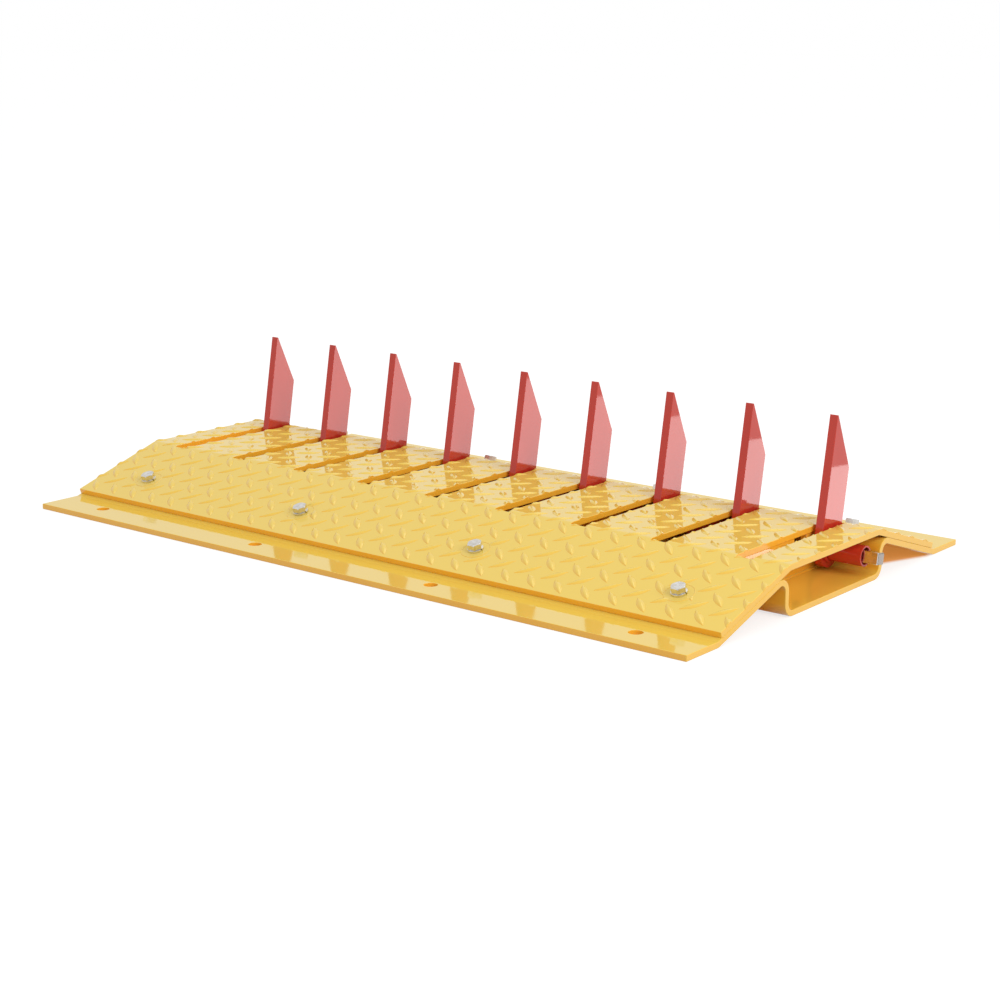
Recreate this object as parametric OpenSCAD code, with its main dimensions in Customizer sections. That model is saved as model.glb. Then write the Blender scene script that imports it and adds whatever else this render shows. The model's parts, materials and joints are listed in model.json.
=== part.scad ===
// Tyre spike strip that is bolted down on a road surface.
// One bent base plate lies on the ground and forms a trough between two ramps. A cover plate is
// bolted over the ramps, and the spikes stand up through slots in its deck. All the spikes are welded
// to one tube, which turns in bearing plates in the trough and is turned upright by two springs.
// X runs along the strip, the spikes fold down towards -Y, and Z is up from the ground.

/* [Plates] */
// Thickness of the base plate and of the cover plate
sheet_t = 6.35; // [5.6:0.05:7]
// Inside radius of the bends in the base plate
bend_r = 8; // [2:0.1:10]
// Inside radius of the bends in the cover plate
cover_bend_r = 10; // [4:0.5:16]
// Slope of the ramps in degrees
ramp_angle = 17.8; // [15:0.1:21]
// Width of the strip from front edge to rear edge
strip_w = 533.4; // [500:0.1:600]
// Width of the flat deck between the ramps
deck_w = 177.8; // [172:0.1:210]
// Height of the deck's upper face above the ground
deck_h = 53.35; // [52.5:0.05:60]
// How far each trough wall stands outside the deck's bend
trough_step = 1.1; // [0.5:0.1:6]
// Bare slope left between the cover's edge and the base's flange
cover_edge_gap = 6; // [2:0.5:15]

/* [Spikes] */
// Number of spikes, an odd number
spike_count = 9; // [7:2:13]
// Distance from one spike to the next
spike_pitch = 101.6; // [92:0.1:120]
// Width of a spike's flat bar
spike_w = 38.1; // [35:0.1:39.5]
// Thickness of a spike's flat bar
spike_t = 9.5; // [7:0.1:12]
// Distance from the shaft's axis to a spike's tip
spike_reach = 140.3; // [120:0.1:150]
// Length of the bevel on a spike's rear edge, measured along the bar
bevel_l = 53.8; // [30:0.1:70]
// Width of the blunt end at the tip
tip_flat = 1.6; // [0.8:0.1:4]
// Backward lean of the spikes at rest in degrees
spike_lean = 10; // [5:0.5:15]
// Room between a spike and each long side of its slot
slot_side_gap = 4.775; // [2.5:0.005:7]
// Room between the folding tip and the slot's front end
slot_front_gap = 18.4; // [6:0.1:24]
// Room between a spike's foot and the trough's rear wall
foot_wall_gap = 2.95; // [2:0.05:6]
// Room between a spike's foot and the trough's floor
foot_floor_gap = 2.6; // [1.5:0.05:3.5]

/* [Shaft] */
// Outside diameter of the shaft tube
tube_d = 22.2; // [19:0.1:23.5]
// Wall thickness of the shaft tube
tube_wall = 2.1; // [1.6:0.05:3.5]
// How far each end of the tube stops short of the plates
tube_inset = 4.2; // [1:0.1:12]
// Length of the square coupling bar outside the tube
bar_out = 18; // [10:0.5:30]
// Length of the square coupling bar inside the tube
bar_in = 44; // [34:0.5:60]
// Diameter of the pin that locks the coupling bar
pin_d = 5; // [3:0.1:6]
// Distance from the tube's end to the pin
pin_inset = 20; // [10:0.5:28]
// Leg of the weld round each side of a spike
weld_leg = 2.5; // [1.5:0.1:3]

/* [Bearings] */
// Thickness of a bearing plate
plate_t = 8; // [6:0.1:10]
// Distance from the end slots' edge to the bearing plates beside them
plate_setback = 1.9; // [1:0.1:6]
// Wall thickness of a bushing
bush_wall = 2.4; // [1.6:0.1:3.5]
// Width of a bushing's flange
bush_rim_w = 3; // [1.5:0.1:3.5]
// Thickness of a bushing's flange
bush_rim_t = 2.5; // [1.5:0.1:4]
// Width of a shaft collar
collar_w = 11; // [9:0.5:16]
// Wall thickness of a shaft collar
collar_wall = 5.5; // [4:0.1:6]
// Diameter of a collar's set screw
set_screw_d = 6; // [4:0.1:7]

/* [Springs] */
// Diameter of the spring wire
wire_d = 4; // [3:0.1:4.4]
// Gap between one turn of a spring and the next
turn_gap = 0.9; // [0.6:0.05:2]
// Gap between the spring and the shaft tube inside it
coil_tube_gap = 2.65; // [1.5:0.05:4]
// Gap between the spring and the deck above it
coil_room = 1.25; // [0.5:0.05:2.5]
// Length of the leg that bears on the trough's floor
leg_l = 45; // [30:0.5:60]
// Radius of the bend into the spike
end_bend_r = 5; // [4:0.1:6]

/* [Fasteners] */
// Distance from the plates' ends to the first bolt and anchor hole
end_margin = 76.2; // [50:0.1:110]
// Diameter of the anchor holes in the flanges
anchor_d = 14.3; // [10:0.1:20]
// Distance from the flange's edge to the anchor holes
anchor_edge = 28.5; // [18:0.5:32]
// Diameter of the cover bolts
bolt_d = 9.525; // [8:0.005:12]
// Length of the cover bolts under the head
bolt_l = 25.4; // [24:0.1:28]
// Distance across the flats of the bolt heads and nuts
hex_flats = 14.29; // [13.5:0.01:19]
// Height of the bolt heads
head_h = 6; // [4:0.1:8]
// Thickness of the lock washers
washer_t = 2.4; // [1.5:0.1:3.5]
// Width of a lock washer's ring
washer_band = 3.7; // [2.5:0.1:5]
// Height of the weld nuts
nut_h = 8.3; // [6:0.1:9]
// Distance down the slope from a bolt to the cover's edge
bolt_edge = 46.3; // [30:0.1:70]

/* [Hidden] */
$fn = 64;
// Cuts run this far past the faces that they open
overrun = 1;
// Film of paint or weld between pieces that are fixed to each other
joint_gap = 0.03;
// Radial clearance of the tube in its bushings
running_gap = 0.06;
// Clearance between a spike and the end of the slot that stops it
stop_gap = 0.3;
// Clearance between the bearing plates and the deck above them
deck_gap = 0.3;
// Clearance of the cover bolts in the plates
bolt_gap = 0.4;
// Clearance of the spring wire in the spike's hole
wire_gap = 0.15;
// Cut-off corners of a bearing plate
plate_chamfer = 3.5;
// Relief notch in a bearing plate: its front edge and rear edge from the axis, and its depth
notch_front = 45;
notch_rear = 20;
notch_depth = 12;
// Gap between a collar and the bushing beside it
collar_gap = 0.5;
// Land left at the thin edge of a weld
weld_edge = 0.4;
// Chamfer round the free end of the coupling bar
bar_chamfer = 1;
// Chamfer round the rim of a bolt head
head_chamfer = 0.9;
// Split in a lock washer and the angle it is cut at
split_w = 1.2;
split_angle = 25;
// Set screw: depth below the collar's rim, and its hexagon socket
screw_sink = 0.4;
socket_flats = 3;
socket_depth = 3;
// Straight wire left before the hole and inside it
wire_lead = 1;
wire_hold = 7;
// Least room between the last turn of a spring and the bearing plate
coil_end_room = 1;
// Straight stretches: degrees of a bend that one stretch takes, and turns of a coil
bend_step = 6;
turn_steps = 8;
wire_sides = 6;
bend_rings = 4;
gap_samples = 4;

// Colours
yellow = [0.91, 0.70, 0.24];
red = [0.74, 0.20, 0.13];
zinc = [0.78, 0.78, 0.76];
bare_steel = [0.66, 0.64, 0.60];
bronze = [0.66, 0.47, 0.26];
black_oxide = [0.16, 0.16, 0.17];

// Plates: the line that the cover's under face follows, from which both plates are worked out
strip_l = spike_count * spike_pitch;
half_l = strip_l / 2;
half_t = sheet_t / 2;
deck_half = deck_w / 2;
deck_under = deck_h - sheet_t;
fold_tan = tan(ramp_angle / 2);
seat_y = deck_half - sheet_t * fold_tan;
trough_half = deck_half + trough_step;

// Height of the slope at distance y from the middle, at a depth under the cover's lower face
function slope_z(y, depth) = deck_under - depth / cos(ramp_angle) - (y - seat_y) * tan(ramp_angle);
// Distance from the middle at which the slope, at that depth, comes down to height z
function slope_y(z, depth) = seat_y + (deck_under - depth / cos(ramp_angle) - z) / tan(ramp_angle);

flange_line = slope_y(half_t, joint_gap + half_t);
flange_bend = slope_y(sheet_t, joint_gap);
wall_line = trough_half + half_t;
cover_slope = (flange_bend - seat_y) / cos(ramp_angle) - cover_edge_gap;
cover_bend = [deck_half - half_t * fold_tan, deck_h - half_t];
cover_run = cover_slope + half_t * fold_tan;
cover_edge = cover_bend + cover_run * [cos(ramp_angle), -sin(ramp_angle)];

// Shaft: it hangs under the deck, with room for the springs, and the trough's floor lies under it
tube_r = tube_d / 2;
wire_r = wire_d / 2;
coil_r = tube_r + coil_tube_gap + wire_r;
shaft_y = trough_half - spike_w / 2 - foot_wall_gap;
shaft_z = deck_under - coil_room - wire_r - coil_r;
floor_z = shaft_z - spike_w / 2 - foot_floor_gap;

// Middle lines of the two plates from rear to middle, as seen from the end
base_half_line = [
    [strip_w / 2, half_t],
    [flange_line, half_t],
    [wall_line, slope_z(wall_line, joint_gap + half_t)],
    [wall_line, floor_z - half_t]
];
cover_half_line = [cover_edge, cover_bend];

// Shaft tube and spikes
tube_l = strip_l - 2 * tube_inset;
bore_r = tube_r - tube_wall;
weld_r = tube_r + joint_gap;
knee_reach = spike_reach - bevel_l;
swing_r = norm([spike_reach, spike_w / 2]);
bar_side = (bore_r - joint_gap) * sqrt(2);
function spike_x(i) = (i - (spike_count + 1) / 2) * spike_pitch;
last_spike_x = spike_x(spike_count);

// Slots: from the room before the folding tip to the stop behind the standing spike
slot_w = spike_t + 2 * slot_side_gap;
slot_front = shaft_y - swing_r - slot_front_gap;
stand_reach = (deck_h - shaft_z + spike_w / 2 * sin(spike_lean)) / cos(spike_lean);
stand_rear = shaft_y + stand_reach * sin(spike_lean) + spike_w / 2 * cos(spike_lean);
slot_rear = stand_rear + stop_gap;

// Bearing plates, from left to right, and the way that each bushing's flange faces
plate_x_outer = last_spike_x - slot_w / 2 - plate_setback - plate_t / 2;
plate_x_inner = spike_pitch * 3 / 2;
plate_xs = [-plate_x_outer, -plate_x_inner, plate_x_inner, plate_x_outer];
rim_ways = [1, -1, 1, -1];
plate_top = deck_under - deck_gap;
bush_bore_r = tube_r + running_gap;
bush_r = bush_bore_r + bush_wall;
bush_rim_r = bush_r + bush_rim_w;
collar_r = tube_r + collar_wall;
collar_x = plate_x_outer - plate_t / 2 - joint_gap - bush_rim_t - collar_gap - collar_w / 2;

// Fasteners: places along the strip, and down the slope from the deck's bend
fastener_xs = [for (k = [0:3]) -half_l + end_margin + k * (strip_l - 2 * end_margin) / 3];
anchor_y = strip_w / 2 - anchor_edge;
bolt_down = cover_slope + sheet_t * fold_tan - bolt_edge;
bolt_y = deck_half + bolt_down * cos(ramp_angle);
bolt_z = deck_h - bolt_down * sin(ramp_angle);
washer_r = bolt_d / 2 + joint_gap;

// Springs: one on the far side of each spike next to the middle one, seen on the right-hand side
coil_pitch = wire_d + turn_gap;
hole_reach = norm([coil_r, end_bend_r]);
spring_spike = (spike_count + 1) / 2 + 1;
spike_face = spike_x(spring_spike) + spike_t / 2;
coil_near_x = spike_face + wire_lead + end_bend_r;
coil_far_max = plate_x_inner - plate_t / 2 - coil_end_room - wire_r;
leg_drop = shaft_z - floor_z - joint_gap - wire_r;
leg_tilt = atan2(leg_l, coil_r) - acos(leg_drop / norm([leg_l, coil_r]));
leg_angle = 270 + leg_tilt;
hook_angle = 90 - spike_lean - atan2(end_bend_r, coil_r);
most_turned = 360 * (coil_far_max - coil_near_x) / coil_pitch;
whole_turns = floor((most_turned - hook_angle + leg_angle) / 360);
coil_turned = hook_angle + 360 * whole_turns - leg_angle;
coil_far_x = coil_near_x + coil_pitch * coil_turned / 360;

// Bent sheet: its outline follows a middle line of straight runs, with an arc at each corner
function reversed(list) = [for (i = [len(list) - 1:-1:0]) list[i]];
function both_halves(half) = concat([for (p = half) [-p.x, p.y]], reversed(half));
function heading(a, b) = atan2(b.y - a.y, b.x - a.x);
function left_of(h) = [-sin(h), cos(h)];
function turn(h1, h2) = (h2 - h1 + 540) % 360 - 180;
function corner_arc(a, b, c, r, off) =
    let (
        h1 = heading(a, b),
        bend = turn(h1, heading(b, c)),
        way = sign(bend),
        mid_r = r + half_t,
        start = b - mid_r * tan(abs(bend) / 2) * [cos(h1), sin(h1)],
        centre = start + way * mid_r * left_of(h1),
        steps = ceil(abs(bend) / bend_step)
    )
    [for (k = [0:steps]) centre + (off - way * mid_r) * left_of(h1 + bend * k / steps)];
function sheet_side(line, r, off) =
    let (last = len(line) - 1)
    concat(
        [line[0] + off * left_of(heading(line[0], line[1]))],
        [for (i = [1:last - 1]) each corner_arc(line[i - 1], line[i], line[i + 1], r, off)],
        [line[last] + off * left_of(heading(line[last - 1], line[last]))]
    );
function sheet_outline(line, r) =
    concat(sheet_side(line, r, half_t), reversed(sheet_side(line, r, -half_t)));

// An end profile drawn in Y and Z, drawn out along X
module along_strip(length) {
    rotate([90, 0, 90])
        linear_extrude(height = length, center = true)
            children();
}

module bent_sheet(half_line, r) {
    along_strip(strip_l)
        polygon(sheet_outline(both_halves(half_line), r));
}

// Places on the parts
module front_and_rear() {
    children();
    mirror([0, 1, 0]) children();
}

module at_front_bolts() {
    for (x = fastener_xs)
        translate([x, -bolt_y, bolt_z])
            rotate([ramp_angle, 0, 0])
                children();
}

module at_rear_bolts() {
    mirror([0, 1, 0]) at_front_bolts() children();
}

// The shaft's own frame: X along its axis, Z up the spikes
module on_shaft(x = 0) {
    translate([x, shaft_y, shaft_z])
        rotate([-spike_lean, 0, 0])
            children();
}

// A round piece that starts at the shaft's place x and runs along X, to the right or the left
module round_shaft(x, way = 1) {
    translate([x, shaft_y, shaft_z])
        rotate([0, way * 90, 0])
            children();
}

module hexagon(flats, height) {
    cylinder(h = height, d = flats / cos(30), $fn = 6);
}

// Plates
module base_plate() {
    color(yellow)
        difference() {
            bent_sheet(base_half_line, bend_r);
            front_and_rear() {
                for (x = fastener_xs)
                    translate([x, -anchor_y, -overrun])
                        cylinder(h = deck_h + 2 * overrun, d = anchor_d);
                at_front_bolts()
                    translate([0, 0, -2 * sheet_t - overrun])
                        cylinder(h = sheet_t + 2 * overrun, d = bolt_d + 2 * bolt_gap);
            }
        }
}

module cover_plate() {
    color(yellow)
        difference() {
            bent_sheet(cover_half_line, cover_bend_r);
            for (i = [1:spike_count])
                translate([spike_x(i) - slot_w / 2, slot_front, cover_edge.y])
                    cube([slot_w, slot_rear - slot_front, deck_h]);
            front_and_rear()
                at_front_bolts()
                    translate([0, 0, -sheet_t - overrun])
                        cylinder(h = sheet_t + 2 * overrun, d = bolt_d + 2 * bolt_gap);
        }
}

// Fasteners of the cover, each drawn square to the slope on the cover's upper face
module cover_bolt() {
    rim_r = hex_flats / 2 / cos(30);
    translate([0, 0, washer_t + joint_gap]) {
        intersection() {
            hexagon(hex_flats, head_h);
            cylinder(h = head_h, r1 = rim_r + head_h - head_chamfer, r2 = rim_r - head_chamfer);
        }
        translate([0, 0, -bolt_l])
            cylinder(h = bolt_l + head_h / 2, d = bolt_d);
    }
}

module lock_washer() {
    difference() {
        cylinder(h = washer_t, r = washer_r + washer_band);
        translate([0, 0, -overrun])
            cylinder(h = washer_t + 2 * overrun, r = washer_r);
        translate([washer_r + washer_band / 2, 0, washer_t / 2])
            rotate([split_angle, 0, 0])
                cube([2 * washer_band, split_w, 2 * washer_t + 2 * overrun], center = true);
    }
}

module weld_nut() {
    translate([0, 0, -2 * sheet_t - 2 * joint_gap - nut_h])
        difference() {
            hexagon(hex_flats, nut_h);
            translate([0, 0, -overrun])
                cylinder(h = nut_h + 2 * overrun, r = washer_r);
        }
}

module front_cover_bolts() {
    color(zinc) at_front_bolts() cover_bolt();
}

module rear_cover_bolts() {
    color(zinc) at_rear_bolts() cover_bolt();
}

module front_lock_washers() {
    color(zinc) at_front_bolts() lock_washer();
}

module rear_lock_washers() {
    color(zinc) at_rear_bolts() lock_washer();
}

module front_weld_nuts() {
    color(bare_steel) at_front_bolts() weld_nut();
}

module rear_weld_nuts() {
    color(bare_steel) at_rear_bolts() weld_nut();
}

// Bearings of the shaft
module bearing_plate_profile() {
    side = trough_half - joint_gap;
    foot = floor_z + joint_gap;
    shoulder = slope_z(trough_half, deck_gap) - plate_chamfer;
    foot_chamfer = bend_r + deck_gap;
    polygon([
        [-side + foot_chamfer, foot],
        [side - foot_chamfer, foot],
        [side, foot + foot_chamfer],
        [side, shoulder],
        [seat_y - plate_chamfer, plate_top],
        [shaft_y - notch_rear, plate_top],
        [shaft_y - notch_rear, plate_top - notch_depth],
        [shaft_y - notch_front, plate_top - notch_depth],
        [shaft_y - notch_front, plate_top],
        [-seat_y + plate_chamfer, plate_top],
        [-side, shoulder],
        [-side, foot + foot_chamfer]
    ]);
}

module bearing_plate(i) {
    color(yellow)
        difference() {
            translate([plate_xs[i - 1], 0, 0])
                along_strip(plate_t)
                    bearing_plate_profile();
            round_shaft(plate_xs[i - 1] - plate_t / 2 - overrun)
                cylinder(h = plate_t + 2 * overrun, r = bush_r + joint_gap);
        }
}

module bushing(i) {
    way = rim_ways[i - 1];
    rim_t = bush_rim_t + joint_gap;
    color(bronze)
        round_shaft(plate_xs[i - 1] + way * (plate_t / 2 + rim_t), -way)
            rotate_extrude()
                polygon([
                    [bush_bore_r, 0],
                    [bush_rim_r, 0],
                    [bush_rim_r, bush_rim_t],
                    [bush_r, bush_rim_t],
                    [bush_r, rim_t + plate_t],
                    [bush_bore_r, rim_t + plate_t]
                ]);
}

module collar(x) {
    color(zinc)
        difference() {
            round_shaft(x - collar_w / 2)
                difference() {
                    cylinder(h = collar_w, r = collar_r);
                    translate([0, 0, -overrun])
                        cylinder(h = collar_w + 2 * overrun, r = weld_r);
                }
            on_shaft(x)
                rotate([90, 0, 0])
                    cylinder(h = collar_r + overrun, d = set_screw_d);
        }
}

module collar_left() {
    collar(-collar_x);
}

module collar_right() {
    collar(collar_x);
}

module collar_set_screws() {
    screw_l = collar_wall - screw_sink - joint_gap;
    color(black_oxide)
        for (x = [-collar_x, collar_x])
            on_shaft(x)
                rotate([90, 0, 0])
                    translate([0, 0, weld_r])
                        difference() {
                            cylinder(h = screw_l, d = set_screw_d - 2 * joint_gap);
                            translate([0, 0, screw_l - socket_depth])
                                hexagon(socket_flats, socket_depth + overrun);
                        }
}

// Shaft and spikes
module pin_hole(x) {
    on_shaft(x)
        cylinder(h = tube_d + 2 * overrun, d = pin_d + 2 * joint_gap, center = true);
}

module shaft_tube() {
    color(red)
        difference() {
            round_shaft(-tube_l / 2)
                difference() {
                    cylinder(h = tube_l, r = tube_r);
                    translate([0, 0, -overrun])
                        cylinder(h = tube_l + 2 * overrun, r = bore_r);
                }
            for (way = [-1, 1])
                pin_hole(way * (tube_l / 2 - pin_inset));
        }
}

module coupling_bar() {
    edge = bar_chamfer * sqrt(2);
    color(zinc)
        difference() {
            on_shaft(tube_l / 2 - bar_in)
                translate([0, -bar_side / 2, -bar_side / 2])
                    cube([bar_in + bar_out, bar_side, bar_side]);
            for (a = [0:90:270])
                on_shaft(tube_l / 2 + bar_out)
                    rotate([a, 0, 0])
                        translate([0, 0, bar_side / 2])
                            rotate([0, 45, 0])
                                cube([edge, 2 * bar_side, edge], center = true);
            pin_hole(tube_l / 2 - pin_inset);
        }
}

module coupling_pin() {
    color(zinc)
        on_shaft(tube_l / 2 - pin_inset)
            cylinder(h = tube_d, d = pin_d, center = true);
}

module spike_profile() {
    edge = spike_w / 2;
    circle(r = edge);
    polygon([
        [-edge, 0],
        [edge, 0],
        [edge, knee_reach],
        [tip_flat - edge, spike_reach],
        [-edge, spike_reach]
    ]);
}

module weld_rings() {
    face = spike_t / 2;
    rotate([0, 90, 0])
        rotate_extrude()
            polygon([
                [0, -face - weld_leg],
                [weld_r + weld_edge, -face - weld_leg],
                [weld_r + weld_leg, -face],
                [weld_r + weld_leg, face],
                [weld_r + weld_edge, face + weld_leg],
                [0, face + weld_leg]
            ]);
}

module spike(i) {
    through = spike_t + 2 * weld_leg + 2 * overrun;
    holds_spring = abs(i - (spike_count + 1) / 2) == 1;
    color(red)
        on_shaft(spike_x(i))
            difference() {
                union() {
                    along_strip(spike_t) spike_profile();
                    weld_rings();
                }
                rotate([0, 90, 0])
                    cylinder(h = through, r = weld_r, center = true);
                if (holds_spring)
                    translate([0, 0, hole_reach])
                        rotate([0, 90, 0])
                            cylinder(h = through, r = wire_r + wire_gap, center = true);
            }
}

// Springs: the wire's middle line from the leg on the floor, round the coil and into the spike,
// as pairs of a point and the direction that points away from the shaft there
function away(a) = [0, cos(a), sin(a)];
function along(a) = [0, -sin(a), cos(a)];
function coil_point(x, a) = [x, shaft_y, shaft_z] + coil_r * away(a);
coil_start = coil_point(coil_far_x, leg_angle);
coil_end = coil_point(coil_near_x, hook_angle);
coil_rings = ceil(coil_turned * turn_steps / 360);
into_spike = [-1, 0, 0];
hook_start = coil_end + end_bend_r * (along(hook_angle) + into_spike);

spring_line = concat(
    [[coil_start - leg_l * along(leg_angle), away(leg_angle)]],
    [for (k = [0:coil_rings])
        let (
            share = k / coil_rings,
            a = leg_angle + coil_turned * share,
            x = coil_far_x + (coil_near_x - coil_far_x) * share
        )
        [coil_point(x, a), away(a)]],
    [for (k = [1:bend_rings])
        let (bend = 90 * k / bend_rings)
        [
            coil_end + end_bend_r * (sin(bend) * along(hook_angle) + (1 - cos(bend)) * into_spike),
            away(hook_angle)
        ]],
    [[hook_start + (wire_lead + wire_hold) * into_spike, away(hook_angle)]]
);

function unit(v) = v / norm(v);
function wire_ring(line, i) =
    let (
        ahead = unit(line[min(i + 1, len(line) - 1)][0] - line[max(i - 1, 0)][0]),
        out = unit(line[i][1] - (line[i][1] * ahead) * ahead),
        side = cross(ahead, out)
    )
    [for (k = [0:wire_sides - 1])
        let (a = 360 * k / wire_sides)
        line[i][0] + wire_r * (cos(a) * out + sin(a) * side)];

module wire(line) {
    last = len(line) - 1;
    points = [for (i = [0:last]) each wire_ring(line, i)];
    sides = [
        for (i = [0:last - 1])
            for (k = [0:wire_sides - 1])
                let (
                    a = i * wire_sides + k,
                    b = i * wire_sides + (k + 1) % wire_sides
                )
                each [[a, a + wire_sides, b], [b, a + wire_sides, b + wire_sides]]
    ];
    first_end = [for (k = [1:wire_sides - 2]) [0, k, k + 1]];
    last_end = [for (f = first_end) [for (v = reversed(f)) v + last * wire_sides]];
    polyhedron(points = points, faces = concat(sides, first_end, last_end));
}

// Least gap between two turns of the wire, measured on points along its middle line
line_points = [
    for (i = [0:len(spring_line) - 2])
        for (k = [0:gap_samples - 1])
            spring_line[i][0] + (spring_line[i + 1][0] - spring_line[i][0]) * k / gap_samples
];
half_turn = gap_samples * turn_steps / 2;
line_last = len(line_points) - 1;
least_spring_gap = min([
    for (i = [0:line_last - half_turn])
        for (j = [i + half_turn:line_last])
            norm(line_points[i] - line_points[j])
]) - wire_d;
echo(least_spring_gap = least_spring_gap, spring_turns = coil_turned / 360);

module spring_right() {
    color(bare_steel) wire(spring_line);
}

module spring_left() {
    mirror([1, 0, 0]) spring_right();
}

base_plate();
cover_plate();
front_cover_bolts();
rear_cover_bolts();
front_lock_washers();
rear_lock_washers();
front_weld_nuts();
rear_weld_nuts();
for (i = [1:4]) {
    bearing_plate(i);
    bushing(i);
}
spring_left();
spring_right();
shaft_tube();
coupling_bar();
coupling_pin();
for (i = [1:spike_count]) {
    spike(i);
}
collar_left();
collar_right();
collar_set_screws();
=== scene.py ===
"""Dress a tyre spike strip: glossy yellow plates with a raised tread, and red spikes on a sprung shaft.

The solids of the strip are the frame, and each keeps its place. They get their finishes and soft edges
here, and the raised tread, the wound springs and the welds are added to them. Sizes are in millimetres
in the strip's own frame, and become metres where a mesh is made. Places in a skin's node group are in metres.
"""
import json
import logging
from collections.abc import Collection
from dataclasses import dataclass, field
from enum import Enum
from functools import reduce
from math import acos, asin, atan2, ceil, cos, degrees, floor, hypot, pi, radians, sin, sqrt, tan

import bmesh
import bpy
from mathutils import Matrix, Vector


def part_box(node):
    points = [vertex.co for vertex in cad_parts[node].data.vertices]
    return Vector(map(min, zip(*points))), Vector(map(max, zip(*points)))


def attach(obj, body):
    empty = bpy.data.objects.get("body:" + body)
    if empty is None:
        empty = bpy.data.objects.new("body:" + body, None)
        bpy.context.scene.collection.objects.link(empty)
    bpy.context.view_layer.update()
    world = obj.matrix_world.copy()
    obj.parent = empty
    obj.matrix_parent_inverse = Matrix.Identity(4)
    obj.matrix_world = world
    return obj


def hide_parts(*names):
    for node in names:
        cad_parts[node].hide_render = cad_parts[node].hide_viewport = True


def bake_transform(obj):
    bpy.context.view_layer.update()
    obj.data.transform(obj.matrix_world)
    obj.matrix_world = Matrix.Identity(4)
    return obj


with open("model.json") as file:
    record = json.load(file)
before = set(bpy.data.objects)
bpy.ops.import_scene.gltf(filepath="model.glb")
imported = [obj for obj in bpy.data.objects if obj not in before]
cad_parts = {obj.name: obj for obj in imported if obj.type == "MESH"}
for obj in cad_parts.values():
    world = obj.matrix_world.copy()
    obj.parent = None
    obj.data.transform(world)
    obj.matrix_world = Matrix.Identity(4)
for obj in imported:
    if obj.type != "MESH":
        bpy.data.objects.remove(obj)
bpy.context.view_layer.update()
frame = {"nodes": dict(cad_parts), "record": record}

LOG = logging.getLogger("spike_strip")
MM = 0.001

Point = tuple[float, float, float]
Colour = tuple[float, float, float]
Span = tuple[float, float]
Face = tuple[int, ...]
Plane = tuple[Point, Point]
Shell = tuple[list[Point], list[Face]]
Form = tuple[list[Point], list[Face], set[int]]
Piece = bpy.types.Object
Socket = bpy.types.NodeSocket
Source = Socket | float | tuple[float, ...]


class Slot(Enum):
    """Finishes that the strip's record names."""

    YELLOW_PAINT = "yellow_paint"
    RED_PAINT = "red_paint"
    BRIGHT_ZINC = "bright_zinc"
    PRIMED_STEEL = "bare_steel"
    BRONZE = "bronze"
    SPRING_STEEL = "spring_steel"
    BLACK_OXIDE = "black_oxide"


class Body(Enum):
    """Bodies that pieces ride on."""

    BASE = "base"
    SHAFT = "spike_shaft"


class Lean(Enum):
    """Ways that a tread lozenge lies, as its turn from the strip's length."""

    RISING = radians(45)
    FALLING = radians(-45)


class Calc(Enum):
    """Calculations in a node tree, by Blender's names."""

    ADD = "ADD"
    SUBTRACT = "SUBTRACT"
    MULTIPLY = "MULTIPLY"
    LARGER = "MAXIMUM"
    SIZE = "ABSOLUTE"


class Ray(Enum):
    """Kinds of light rays, by Blender's names."""

    CAMERA = "Is Camera Ray"
    MIRRORED = "Is Glossy Ray"
    LET_THROUGH = "Is Transmission Ray"


@dataclass(frozen=True)
class Layout:
    """Sizes that several sub-assemblies of the strip share."""

    shaft_y: float = 68.0
    shaft_z: float = 28.0
    trough_floor_z: float = 6.35
    spike_pitch: float = 101.6
    spike_count: int = 9

    @property
    def spike_xs(self) -> list[float]:
        """Places of the spikes and of their slots along the strip."""
        middle = (self.spike_count - 1) / 2
        return [(i - middle) * self.spike_pitch for i in range(self.spike_count)]


LAYOUT = Layout()


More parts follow.
